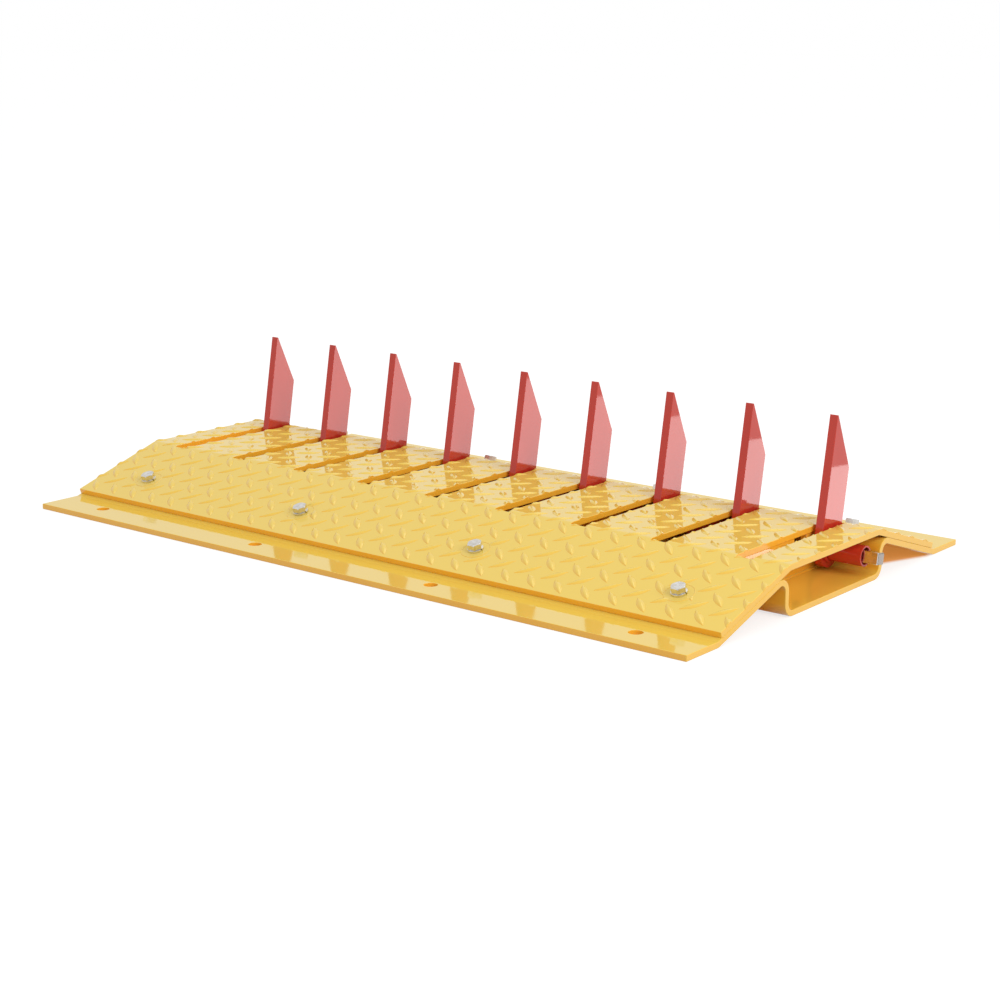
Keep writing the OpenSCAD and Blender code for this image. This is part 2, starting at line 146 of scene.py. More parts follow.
class NodeBoard:
    """A node tree on which nodes are set out and joined."""

    # Places of the two colours and of the mixed colour among the sockets of a mix node.
    MIX_INPUTS, MIX_OUTPUT = (6, 7), 2

    def __init__(self, tree: bpy.types.NodeTree) -> None:
        """Start with an empty tree."""
        self.tree = tree
        tree.nodes.clear()

    def add(self, kind: str, *sources: Source, named: dict[str | int, Source] | None = None,
            **settings: object) -> bpy.types.Node:
        """Add a node, and feed its inputs from sockets or with plain values.

        Args:
            kind: Blender's name of the node's type.
            *sources: Sources of its first inputs, in order.
            named: Sources of other inputs, by their names or places.
            **settings: Properties of the node, set as they are.

        Returns:
            The new node.
        """
        node = self.tree.nodes.new(kind)
        for name, value in settings.items():
            setattr(node, name, value)
        for place, source in (*enumerate(sources), *(named or {}).items()):
            if isinstance(source, Socket):
                self.tree.links.new(source, node.inputs[place])
            else:
                node.inputs[place].default_value = source
        return node

    def noise(self, place: Socket, scale: float, detail: float) -> Socket:
        """Add a noise, about 0.5 on average, with so many features per metre and so many finer layers."""
        return self.add("ShaderNodeTexNoise", place, named={"Scale": scale, "Detail": detail}).outputs["Fac"]

    def calc(self, how: Calc, first: Source, second: Source = 0.0) -> Socket:
        """Add a calculation with one or two values."""
        return self.add("ShaderNodeMath", first, second, operation=how.value).outputs[0]

    def largest(self, values: list[Socket]) -> Socket:
        """Add the largest of several values."""
        return reduce(lambda one, other: self.calc(Calc.LARGER, one, other), values)

    def rays(self, *kinds: Ray) -> Socket:
        """Tell rays of some kinds, which give 1, from the rest, which give 0."""
        path = self.add("ShaderNodeLightPath").outputs
        return self.largest([path[kind.value] for kind in kinds])

    def parts(self, vector: Socket) -> bpy.types.NodeOutputs:
        """Split a vector into its X, Y and Z."""
        return self.add("ShaderNodeSeparateXYZ", vector).outputs

    def mix(self, share: Socket, first: Colour | Socket, second: Colour | Socket) -> Socket:
        """Add a mix of two colours.

        Args:
            share: Socket with the share of the second colour.
            first: The first colour, or its socket.
            second: The second colour, or its socket.

        Returns:
            The mixed colour's socket.
        """
        colours = [c if isinstance(c, Socket) else (*c, 1) for c in (first, second)]
        node = self.add("ShaderNodeMix", share, named=dict(zip(self.MIX_INPUTS, colours)), data_type="RGBA")
        return node.outputs[self.MIX_OUTPUT]

    def spread(self, value: Socket, low: float, high: float) -> Socket:
        """Stretch a value's range from low to high over the range from 0 to 1, held at its ends."""
        return self.add("ShaderNodeMapRange", value, low, high).outputs[0]


def new_material(name: str) -> tuple[bpy.types.Material, NodeBoard]:
    """Make a material with an empty node tree.

    Args:
        name: The material's name.

    Returns:
        The material, and the board of its tree.
    """
    material = bpy.data.materials.new(name)
    material.use_nodes = True
    return material, NodeBoard(material.node_tree)


class SkinGroup:
    """A node group that gives the colour, roughness and relief of a kind of surface."""

    INPUTS = {"Colour": "Color", "Second colour": "Color", "Painted light and sawn colour": "Color",
              "Roughness": "Float", "Roughness drift": "Float"}
    OUTPUTS = {"Colour": "Color", "Roughness": "Float", "Height": "Float"}

    def __init__(self, name: str) -> None:
        """Make an empty group with the inputs and outputs of a skin.

        Args:
            name: The group's name.
        """
        self.tree = bpy.data.node_groups.new(name, "ShaderNodeTree")
        for way, sockets in (("INPUT", self.INPUTS), ("OUTPUT", self.OUTPUTS)):
            for label, kind in sockets.items():
                self.tree.interface.new_socket(name=label, in_out=way, socket_type="NodeSocket" + kind)
        self.board = NodeBoard(self.tree)
        self.given = self.board.add("NodeGroupInput").outputs
        self.place = self.board.add("ShaderNodeTexCoord").outputs["Object"]

    def finish(self, share: Socket, drift: Socket, height: Socket, bare: Socket) -> None:
        """Join up the outputs.

        Args:
            share: Share of the second colour.
            drift: How much of the roughness drift is added.
            height: Relief of the surface.
            bare: Share of the third colour, which is painted light on paint and bare metal at a sawn end.
        """
        board, given = self.board, self.given
        clouded = board.mix(share, given["Colour"], given["Second colour"])
        added = board.calc(Calc.MULTIPLY, given["Roughness drift"], drift)
        board.add("NodeGroupOutput", named={
            "Colour": board.mix(bare, clouded, given["Painted light and sawn colour"]),
            "Roughness": board.calc(Calc.ADD, given["Roughness"], added),
            "Height": height,
        })


class PowderCoat(SkinGroup):
    """Sprayed paint: a faint orange peel, a slow drift in tone and gloss, and painted light: a paler colour on
    open faces that look up and partly on the strip's end faces, while upright faces and the trough keep the
    deeper colour as painted shade.
    """

    # Upward share of a face's direction at which the painted light (the paler colour) starts and at which it is
    # full, so the tread's steeper flanks keep some of the deeper colour as painted shade.
    LOOKS_UP: Span = (0.45, 0.90)
    # Where the trough ends, across the strip and upwards, and where the strip's end faces begin.
    TROUGH_Y: Span = (0.094, 0.100)
    TROUGH_Z: Span = (0.036, 0.044)
    END_X: Span = (0.4545, 0.4565)
    # Shares of the painted light on the trough's floor, which keeps more of the deeper colour as painted shade,
    # and on the end faces.
    TROUGH_SHARE, END_SHARE = 0.6, 0.35
    # Features per metre and finer layers of each noise, and the noises' middle range.
    TONE, GLOSS, PEEL, FINE_PEEL = (14, 3), (45, 3), (260, 1.5), (900, 1)
    NOISE_MIDDLE: Span = (0.3, 0.7)
    FINE_SHARE = 0.25

    def __init__(self) -> None:
        """Build the group."""
        super().__init__("powder_coat")
        board, place = self.board, self.place
        tone, gloss = (board.spread(board.noise(place, *kind), *self.NOISE_MIDDLE)
                       for kind in (self.TONE, self.GLOSS))
        fine = board.calc(Calc.MULTIPLY, board.noise(place, *self.FINE_PEEL), self.FINE_SHARE)
        peel = board.calc(Calc.ADD, board.noise(place, *self.PEEL), fine)
        self.finish(tone, gloss, peel, self.painted_light())

    def painted_light(self) -> Socket:
        """Find where light is painted on as the paler colour: faces that look up, and a little at the strip's
        ends; the rest keeps the deeper colour as painted shade.

        Returns:
            A socket that is 1 on open faces that look up, less in the trough, and 0 on upright faces.
        """
        board = self.board
        spot = board.parts(self.place)
        way = board.parts(board.add("ShaderNodeTexCoord").outputs["Normal"])
        looks_up = board.spread(way["Z"], *self.LOOKS_UP)
        beside = board.spread(board.calc(Calc.SIZE, spot["Y"]), *self.TROUGH_Y)
        above = board.spread(spot["Z"], *self.TROUGH_Z)
        at_end = board.spread(board.calc(Calc.SIZE, spot["X"]), *self.END_X)
        open_share = board.calc(Calc.LARGER, board.largest([beside, above]), self.TROUGH_SHARE)
        painted_lit_share = board.calc(Calc.MULTIPLY, looks_up, open_share)
        return board.largest([painted_lit_share, board.calc(Calc.MULTIPLY, at_end, self.END_SHARE)])


class MetalSkin(SkinGroup):
    """Plain or plated metal: fine drawing lines, a cloudy bloom, small pits, and bare metal at a sawn end."""

    # Where the sawn end face of the coupling bar begins.
    SAWN_X: Span = (0.4705, 0.4708)
    # Lines per metre along and across the way that the metal was drawn, and their finer layers.
    LINES, LINE_DETAIL = (60, 1200, 1200), 2
    # Features per metre and finer layers of each noise, and the bloom's middle range.
    BLOOM, PITS = (220, 3), (2600, 1)
    BLOOM_MIDDLE: Span = (0.35, 0.68)

    def __init__(self) -> None:
        """Build the group."""
        super().__init__("metal_skin")
        board = self.board
        lines = board.add("ShaderNodeMapping", self.place, named={"Scale": self.LINES}, vector_type="POINT")
        grain = board.noise(lines.outputs[0], 1, self.LINE_DETAIL)
        bloom = board.spread(board.noise(self.place, *self.BLOOM), *self.BLOOM_MIDDLE)
        relief = board.calc(Calc.ADD, grain, board.noise(self.place, *self.PITS))
        sawn = board.spread(board.parts(self.place)["X"], *self.SAWN_X)
        self.finish(bloom, grain, relief, sawn)


@dataclass(frozen=True)
class Finish:
    """A finish of one material slot.

    The second colour comes in clouds. The third colour is painted light on paint, a paler colour on open faces
    that look up, and bare metal where metal is sawn.
    """

    slot: Slot
    skin: type[SkinGroup]
    colour: Colour
    second: Colour
    roughness: float
    drift: float
    relief: float
    metallic: float = 0.0
    ior: float = 1.5
    coat: float = 0.0
    coat_roughness: float = 0.05
    bare: Colour | None = None

    def make(self, group: SkinGroup) -> bpy.types.Material:
        """Make the material.

        Args:
            group: The built node group of this finish's skin.

        Returns:
            The new material.
        """
        material, board = new_material(self.slot.value)
        skin = board.add("ShaderNodeGroup", node_tree=group.tree, named={
            "Colour": (*self.colour, 1), "Second colour": (*self.second, 1),
            "Painted light and sawn colour": (*(self.bare or self.colour), 1),
            "Roughness": self.roughness, "Roughness drift": self.drift,
        }).outputs
        bump = board.add("ShaderNodeBump", named={
            "Strength": 1, "Distance": self.relief * MM, "Height": skin["Height"],
        })
        shader = board.add("ShaderNodeBsdfPrincipled", named={
            "Base Color": skin["Colour"], "Roughness": skin["Roughness"], "Normal": bump.outputs["Normal"],
            "Metallic": self.metallic, "IOR": self.ior,
            "Coat Weight": self.coat, "Coat Roughness": self.coat_roughness,
        })
        board.add("ShaderNodeOutputMaterial", shader.outputs["BSDF"])
        return material


FINISHES = (
    # The yellow's colour and second colour are the deeper orange kept as painted shade on upright faces and in
    # the trough; its third colour is the paler yellow of painted light on open faces that look up.
    Finish(Slot.YELLOW_PAINT, PowderCoat, colour=(0.97, 0.505, 0.045), second=(0.95, 0.475, 0.035),
           bare=(0.85, 0.602, 0.095), roughness=0.045, drift=0.035, relief=0.006, coat=0.1),
    Finish(Slot.RED_PAINT, PowderCoat, colour=(0.57, 0.042, 0.024), second=(0.53, 0.034, 0.018),
           roughness=0.03, drift=0.02, relief=0.003),
    Finish(Slot.BRIGHT_ZINC, MetalSkin, colour=(0.81, 0.79, 0.755), second=(0.64, 0.61, 0.56),
           bare=(0.40, 0.35, 0.32), roughness=0.16, drift=0.14, relief=0.003, metallic=1.0),
    Finish(Slot.PRIMED_STEEL, MetalSkin, colour=(0.60, 0.56, 0.50), second=(0.52, 0.48, 0.43),
           roughness=0.38, drift=0.2, relief=0.01, metallic=0.25),
    Finish(Slot.BRONZE, MetalSkin, colour=(0.60, 0.38, 0.15), second=(0.42, 0.25, 0.10),
           roughness=0.28, drift=0.2, relief=0.006, metallic=1.0),
    Finish(Slot.SPRING_STEEL, MetalSkin, colour=(0.20, 0.20, 0.21), second=(0.11, 0.11, 0.12),
           roughness=0.24, drift=0.2, relief=0.004, metallic=1.0),
    Finish(Slot.BLACK_OXIDE, MetalSkin, colour=(0.03, 0.03, 0.033), second=(0.05, 0.048, 0.045),
           roughness=0.34, drift=0.2, relief=0.004, metallic=0.6),
)


class PaintShop:
    """Every finish of the strip, made once."""

    def __init__(self) -> None:
        """Make the node groups and the materials."""
        groups = {kind: kind() for kind in (PowderCoat, MetalSkin)}
        self.materials = {finish.slot: finish.make(groups[finish.skin]) for finish in FINISHES}

    def coat(self, obj: Piece, slot: Slot) -> None:
        """Give an object one finish all over.

        Args:
            obj: The object.
            slot: Its finish.
        """
        slots = obj.data.materials
        if not slots:
            slots.append(self.materials[slot])
        for index in range(len(slots)):
            slots[index] = self.materials[slot]


@dataclass
class Stock:
    """Points and faces of one mesh in the making."""

    points: list[Point] = field(default_factory=list)
    faces: list[Face] = field(default_factory=list)
    flat: set[int] = field(default_factory=set)

    def add(self, points: list[Point], faces: list[Face], flat: Collection[int] = ()) -> None:
        """Add a closed form.

        Args:
            points: Its points in millimetres.
            faces: Its faces, numbered from its own first point.
            flat: Indices of the faces that are shaded flat.
        """
        first, first_face = len(self.points), len(self.faces)
        self.points += points
        self.faces += [tuple(first + i for i in face) for face in faces]
        self.flat |= {first_face + i for i in flat}

    def make(self, name: str) -> Piece:
        """Make the mesh object, with its faces turned outwards.

        Args:
            name: The piece's name.

        Returns:
            The new object.
        """
        mesh = bpy.data.meshes.new(name)
        mesh.from_pydata([tuple(v * MM for v in p) for p in self.points], [], self.faces)
        for index, polygon in enumerate(mesh.polygons):
            polygon.use_smooth = index not in self.flat
        form = bmesh.new()
        form.from_mesh(mesh)
        bmesh.ops.recalc_face_normals(form, faces=form.faces)
        form.to_mesh(mesh)
        form.free()
        obj = bpy.data.objects.new(name, mesh)
        bpy.context.scene.collection.objects.link(obj)
        return obj


def tube_form(line: list[Point], outs: list[Point], radii: list[float], sides: int,
              ring: bool = False) -> Shell:
    """Build a round form along a line.

    Args:
        line: Middle points.
        outs: A direction across the line at each of them.
        radii: The form's radius at each of them.
        sides: Number of sides of the form.
        ring: Whether the last point joins the first.

    Returns:
        The points and faces of the closed form.
    """
    count = len(line)
    points: list[Point] = []
    for i, (middle, out, radius) in enumerate(zip(line, outs, radii)):
        before = line[(i - 1) % count if ring else max(i - 1, 0)]
        after = line[(i + 1) % count if ring else min(i + 1, count - 1)]
        ahead = (Vector(after) - Vector(before)).normalized()
        across = Vector(out)
        across = (across - across.dot(ahead) * ahead).normalized()
        side = ahead.cross(across)
        for k in range(sides):
            turn = 2 * pi * k / sides
            points.append(tuple(Vector(middle) + radius * (cos(turn) * across + sin(turn) * side)))
    faces: list[Face] = []
    for i in range(count if ring else count - 1):
        near, far = i * sides, (i + 1) % count * sides
        for k in range(sides):
            after = (k + 1) % sides
            faces.append((near + k, near + after, far + after, far + k))
    if not ring:
        faces.append(tuple(range(sides)))
        faces.append(tuple((count - 1) * sides + k for k in range(sides)))
    return points, faces


@dataclass(frozen=True)
class CoverTop:
    """Upper face of the bent cover, laid out flat: x along the strip and s back from the front edge."""

    half_l: float
    edge_y: float
    deck_half: float = 88.9
    deck_h: float = 53.35
    ramp_angle: float = radians(17.8)
    bend_r: float = 16.35

    @classmethod
    def of_solid(cls) -> "CoverTop":
        """Take the length and the reach from the cover's solid."""
        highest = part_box("cover_plate")[1]
        return cls(highest[0] / MM, highest[1] / MM)

    @property
    def bend_run(self) -> float:
        """Distance from the deck's edge to the start or end of its bend."""
        return self.bend_r * tan(self.ramp_angle / 2)

    @property
    def flat_half(self) -> float:
        """Half the width of the flat deck between the bends."""
        return self.deck_half - self.bend_run

    @property
    def arc_l(self) -> float:
        """Length of a bend on the upper face."""
        return self.bend_r * self.ramp_angle

    @property
    def slope_l(self) -> float:
        """Length of the straight part of a ramp."""
        return (self.edge_y - self.deck_half) / cos(self.ramp_angle) - self.bend_run

    @property
    def half_s(self) -> float:
        """Distance on the face from an edge to the middle of the deck."""
        return self.flat_half + self.arc_l + self.slope_l

    def tilt(self, s: float) -> float:
        """Slope of the face at a distance from the front edge, as an angle below level."""
        return min(max((abs(s - self.half_s) - self.flat_half) / self.bend_r, 0), self.ramp_angle)

    def place(self, x: float, s: float, lift: float) -> Point:
        """Find a place on or over the face.

        Args:
            x: Place along the strip.
            s: Distance back from the front edge, on the face.
            lift: Height over the face.

        Returns:
            The point in the strip's frame.
        """
        off = abs(s - self.half_s)
        way = 1 if s >= self.half_s else -1
        tilt = self.tilt(s)
        flat = min(off, self.flat_half)
        run = max(off - self.flat_half - self.arc_l, 0)
        y = flat + (self.bend_r + lift) * sin(tilt) + run * cos(tilt)
        z = self.deck_h - self.bend_r * (1 - cos(tilt)) - run * sin(tilt) + lift * cos(tilt)
        return x, way * y, z

    def back(self, y: float) -> float:
        """Find how far back on the face a place lies.

        Args:
            y: The place across the strip.

        Returns:
            Its distance from the front edge, on the face.
        """
        way, off = (1 if y >= 0 else -1), abs(y)
        if off <= self.flat_half:
            return self.half_s + y
        arc_end = self.flat_half + self.bend_r * sin(self.ramp_angle)
        if off <= arc_end:
            run = self.bend_r * asin((off - self.flat_half) / self.bend_r)
        else:
            run = self.arc_l + (off - arc_end) / cos(self.ramp_angle)
        return self.half_s + way * (self.flat_half + run)


@dataclass(frozen=True)
class Tread:
    """Raised lozenges of the cover: two crossed families on square grids, trimmed at every cut edge.

    A lozenge is worked out on the flat layout, as x, s and height, and is then laid on the bent face.
    """

    top: CoverTop
    layout: Layout = LAYOUT
    pitch: float = 33.34
    first_row: float = 14.83
    length: float = 30.0
    width: float = 9.0
    height: float = 1.5
    ridge_power: float = 0.7
    flank_power: float = 1.7
    sink: float = 0.12
    trim: float = 0.05
    trim_slack: float = 1e-5
    past_edge: float = 10.0
    slot_half: float = 9.525
    slot_front: float = -91.99
    slot_rear: float = 92.1
    bolt_xs: tuple[float, ...] = (-381.0, -127.0, 127.0, 381.0)
    bolt_edge: float = 46.3
    spot_r: float = 15.5
    spot_fade: float = 0.8
    stations: int = 13
    across: tuple[float, ...] = (-1, -0.8, -0.6, -0.38, -0.14, 0.14, 0.38, 0.6, 0.8, 1)

    @property
    def rows_end(self) -> float:
        """Distance on the face from the front edge to the rear edge."""
        return 2 * self.top.half_s

    @property
    def bolt_rows(self) -> Span:
        """Distances from the front edge to the two rows of bolts."""
        return self.bolt_edge, self.rows_end - self.bolt_edge

    def spot_share(self, x: float, s: float) -> float:
        """Find the share of the tread's height that is left near a bolt.

        Args:
            x: Place along the strip.
            s: Place back from the front edge.

        Returns:
            A share that is 0 inside a bolt's spot face and 1 away from it.
        """
        near = min(hypot(x - bx, s - bs) for bx in self.bolt_xs for bs in self.bolt_rows)
        t = min(max((near - self.spot_r) / self.spot_fade, 0), 1)
        return t * t * (3 - 2 * t)

    def lift(self, u: float, v: float) -> float:
        """Height of a lozenge at shares u along and v across it, from its sunk rim."""
        ridge = self.height * (1 - u * u) ** self.ridge_power + self.sink
        return ridge * (1 - v * v) ** self.flank_power

    def lozenge(self, x: float, s: float, lean: Lean) -> Form:
        """Build one lozenge on the flat layout.

        Args:
            x: Place of its middle along the strip.
            s: Place of its middle back from the front edge.
            lean: The way that it lies.

        Returns:
            Its points, its faces, and the faces that are shaded flat.
        """
        points: list[Point] = []
        for k in range(self.stations):
            u = -cos(pi * k / (self.stations - 1))
            half_w = self.width / 2 * (1 - u * u)
            ends = k in (0, self.stations - 1)
            for v in (0.0,) if ends else self.across:
                a, b = u * self.length / 2, v * half_w
                px = x + a * cos(lean.value) - b * sin(lean.value)
                ps = s + a * sin(lean.value) + b * cos(lean.value)
                rise = 0 if ends else self.lift(u, v) * self.spot_share(px, ps)
                points.append((px, ps, rise - self.sink))
        faces: list[Face] = []
        flat: set[int] = set()
        wide = len(self.across)
        last = len(points) - 1
        for k in range(self.stations - 1):
            near, far = 1 + (k - 1) * wide, 1 + k * wide
            for j in range(wide):
                after = (j + 1) % wide
                if after == 0:
                    flat.add(len(faces))
                if k == 0:
                    faces.append((0, far + after, far + j))
                elif k == self.stations - 2:
                    faces.append((near + j, near + after, last))
                else:
                    faces.append((near + j, near + after, far + after, far + j))
        return points, faces, flat

    def trimmed(self, whole: Form, planes: list[Plane]) -> Form:
        """Trim a lozenge.

        Args:
            whole: The whole lozenge.
            planes: A point and an outward direction of each plane that trims it.

        Returns:
            What is left, in the same form.
        """
        points, faces, flat = whole
        form = bmesh.new()
        verts = [form.verts.new(p) for p in points]
        for index, face in enumerate(faces):
            form.faces.new([verts[i] for i in face]).smooth = index not in flat
        for place, outward in planes:
            every = form.verts[:] + form.edges[:] + form.faces[:]
            cut = bmesh.ops.bisect_plane(form, geom=every, dist=self.trim_slack, plane_co=place,
                                         plane_no=outward, clear_outer=True)["geom_cut"]
            rim = [g for g in cut if isinstance(g, bmesh.types.BMEdge)]
            for face in bmesh.ops.holes_fill(form, edges=rim, sides=0)["faces"] if rim else ():
                face.smooth = False
        form.verts.index_update()
        kept = [tuple(v.co) for v in form.verts]
        kept_faces = [tuple(v.index for v in f.verts) for f in form.faces]
        kept_flat = {i for i, f in enumerate(form.faces) if not f.smooth}
        form.free()
        return kept, kept_faces, kept_flat

    @staticmethod
    def cut_across(x: float, way: int) -> Plane:
        """Plane across the strip at x that takes off what lies beyond it, to the right where way is 1."""
        return (x, 0, 0), (way, 0, 0)

    @staticmethod
    def cut_along(s: float, way: int) -> Plane:
        """Plane along the strip at s that takes off what lies beyond it, to the rear where way is 1."""
        return (0, s, 0), (0, way, 0)

    def cut_regions(self, x: float, s: float) -> list[list[Plane]]:
        """Find the planes that trim a lozenge at the cover's edges and round the nearest slot.

        Args:
            x: Place of its middle along the strip.
            s: Place of its middle back from the front edge.

        Returns:
            A list of planes for each piece that is left of it. A whole lozenge has one empty list.
        """
        reach = self.length / 2
        end, edge = self.top.half_l - self.trim, self.rows_end - self.trim
        limits: list[Plane] = []
        if abs(x) + reach > end:
            way = 1 if x > 0 else -1
            limits.append(self.cut_across(way * end, way))
        if s + reach > edge:
            limits.append(self.cut_along(edge, 1))
        if s - reach < self.trim:
            limits.append(self.cut_along(self.trim, -1))
        slot_x = min(self.layout.spike_xs, key=lambda middle: abs(middle - x))
        low, high = slot_x - self.slot_half - self.trim, slot_x + self.slot_half + self.trim
        near, far = self.top.back(self.slot_front) - self.trim, self.top.back(self.slot_rear) + self.trim
        if x + reach < low or x - reach > high or s + reach < near or s - reach > far:
            return [limits]
        # Whether a piece is left on each side of the slot, and the plane that ends it there.
        along = ((s - reach < near, self.cut_along(near, 1)), (s + reach > far, self.cut_along(far, -1)))
        beside = ((x - reach < low, self.cut_across(low, 1)), (x + reach > high, self.cut_across(high, -1)))
        within = limits + [self.cut_along(far, 1), self.cut_along(near, -1)]
        regions = [limits + [plane] for left, plane in along if left]
        return regions + [within + [plane] for left, plane in beside if left]

    def middles(self) -> list[tuple[float, float, Lean]]:
        """List the lozenges.

        Returns:
            The place of each one's middle along the strip and back from the front edge, and its lean.
        """
        found = []
        half_l = self.top.half_l
        columns, rows = ceil(2 * half_l / self.pitch) + 1, ceil(self.rows_end / self.pitch) + 1
        for lean, shift in ((Lean.FALLING, 0.0), (Lean.RISING, self.pitch / 2)):
            for i in range(columns):
                for j in range(rows):
                    x = half_l - shift - i * self.pitch
                    s = self.first_row + shift + j * self.pitch
                    if x > -half_l - self.past_edge and s < self.rows_end + self.past_edge:
                        found.append((x, s, lean))
        return found

    def build(self) -> Piece:
        """Build every lozenge as one mesh on the cover.

        Returns:
            The tread's object.
        """
        stock = Stock()
        for x, s, lean in self.middles():
            whole = self.lozenge(x, s, lean)
            for planes in self.cut_regions(x, s):
                points, faces, flat = self.trimmed(whole, planes) if planes else whole
                if faces:
                    stock.add([self.top.place(*p) for p in points], faces, flat)
        return stock.make("cover_tread")


@dataclass(frozen=True)
class SpotRings:
    """Fine raised rims round the spot faces under the cover's bolts."""

    tread: Tread
    wire_r: float = 0.6
    sink: float = 0.25
    steps: int = 48
    sides: int = 8

    def build(self) -> Piece:
        """Build all the rims as one mesh.

        Returns:
            The rims' object.
        """
        stock = Stock()
        top, radius = self.tread.top, self.tread.spot_r
        turns = [2 * pi * k / self.steps for k in range(self.steps)]
        for x in self.tread.bolt_xs:
            for s in self.tread.bolt_rows:
                line = [top.place(x + radius * cos(a), s + radius * sin(a), -self.sink) for a in turns]
                upward = tuple(r - q for r, q in zip(top.place(x, s, 1), top.place(x, s, 0)))
                outs, radii = [upward] * self.steps, [self.wire_r] * self.steps
                stock.add(*tube_form(line, outs, radii, self.sides, ring=True))
        return stock.make("bolt_spot_rims")


@dataclass(frozen=True)
class TorsionSpring:
    """Wound spring round the shaft: a leg on the trough's floor, close turns, and a hook into a spike."""

    way: int
    layout: Layout = LAYOUT
    wire_r: float = 2.0
    coil_r: float = 15.75
    coil_pitch: float = 4.9
    near_x: float = 112.35
    far_most: float = 145.4
    leg_l: float = 45.0
    leg_shares: tuple[float, ...] = (1, 0.66, 0.33)
    leg_inset: float = 0.3
    end_bend_r: float = 5.0
    hook_l: float = 8.0
    spike_lean: float = 10.0
    seat_gap: float = 0.03
    turn_steps: int = 48
    bend_steps: int = 12
    sides: int = 14

    @property
    def node(self) -> str:
        """Name of the solid that this spring stands for."""
        return "spring_right" if self.way > 0 else "spring_left"

    @property
    def leg_angle(self) -> float:
        """Place of the coil's start round the shaft, in degrees, with the leg resting on the floor."""
        drop = self.layout.shaft_z - self.layout.trough_floor_z - self.seat_gap - self.wire_r
        return 270 + degrees(atan2(self.leg_l, self.coil_r) - acos(drop / hypot(self.leg_l, self.coil_r)))

    @property
    def hook_angle(self) -> float:
        """Place of the coil's end round the shaft, in degrees."""
        return 90 - self.spike_lean - degrees(atan2(self.end_bend_r, self.coil_r))

    @property
    def turned(self) -> float:
        """Find how far the coil turns from the leg to the hook, with as many whole turns as fit.

        Returns:
            The turn in degrees.
        """
        most = 360 * (self.far_most - self.near_x) / self.coil_pitch
        whole = floor((most - self.hook_angle + self.leg_angle) / 360)
        return self.hook_angle + 360 * whole - self.leg_angle

    @property
    def far_x(self) -> float:
        """Place of the coil's start along the strip."""
        return self.near_x + self.coil_pitch * self.turned / 360

    def wire_line(self) -> tuple[list[Point], list[Point]]:
        """Lay the wire's middle line.

        Returns:
            Its points, and the direction away from the shaft at each.
        """
        def away(angle: float) -> Vector:
            """Direction away from the shaft at an angle."""
            return Vector((0, cos(radians(angle)), sin(radians(angle))))

        def round_shaft(angle: float) -> Vector:
            """Direction round the shaft at an angle."""
            return Vector((0, -sin(radians(angle)), cos(radians(angle))))

        axis = Vector((0, self.layout.shaft_y, self.layout.shaft_z))
        start = axis + Vector((self.far_x, 0, 0)) + self.coil_r * away(self.leg_angle)
        line = [start - self.leg_l * share * round_shaft(self.leg_angle) for share in self.leg_shares]
        outs = [away(self.leg_angle)] * len(line)
        rings = ceil(self.turned * self.turn_steps / 360)
        for k in range(rings + 1):
            angle = self.leg_angle + self.turned * k / rings
            x = self.far_x + (self.near_x - self.far_x) * k / rings
            line.append(axis + Vector((x, 0, 0)) + self.coil_r * away(angle))
            outs.append(away(angle))
        end, forward, inward = line[-1], round_shaft(self.hook_angle), Vector((-1, 0, 0))
        for k in range(1, self.bend_steps + 1):
            bend = pi / 2 * k / self.bend_steps
            line.append(end + self.end_bend_r * (sin(bend) * forward + (1 - cos(bend)) * inward))
            outs.append(away(self.hook_angle))
        line.append(line[-1] + self.hook_l * inward)
        outs.append(outs[-1])
        mirrored = Vector((self.way, 1, 1))
        return [tuple(p * mirrored) for p in line], [tuple(o * mirrored) for o in outs]

    def build(self) -> Piece:
        """Build the spring in place of its solid, wound from its leg on the base to its hook in a spike.

        Returns:
            The spring's object.
        """
        line, outs = self.wire_line()
        stock = Stock()
        points, faces = tube_form(line, outs, [self.wire_r] * len(line), self.sides)
        stock.add(points, faces, {len(faces) - 1, len(faces) - 2})
        obj = stock.make("wound_" + self.node)
        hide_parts(self.node)
        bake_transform(obj)
        return obj


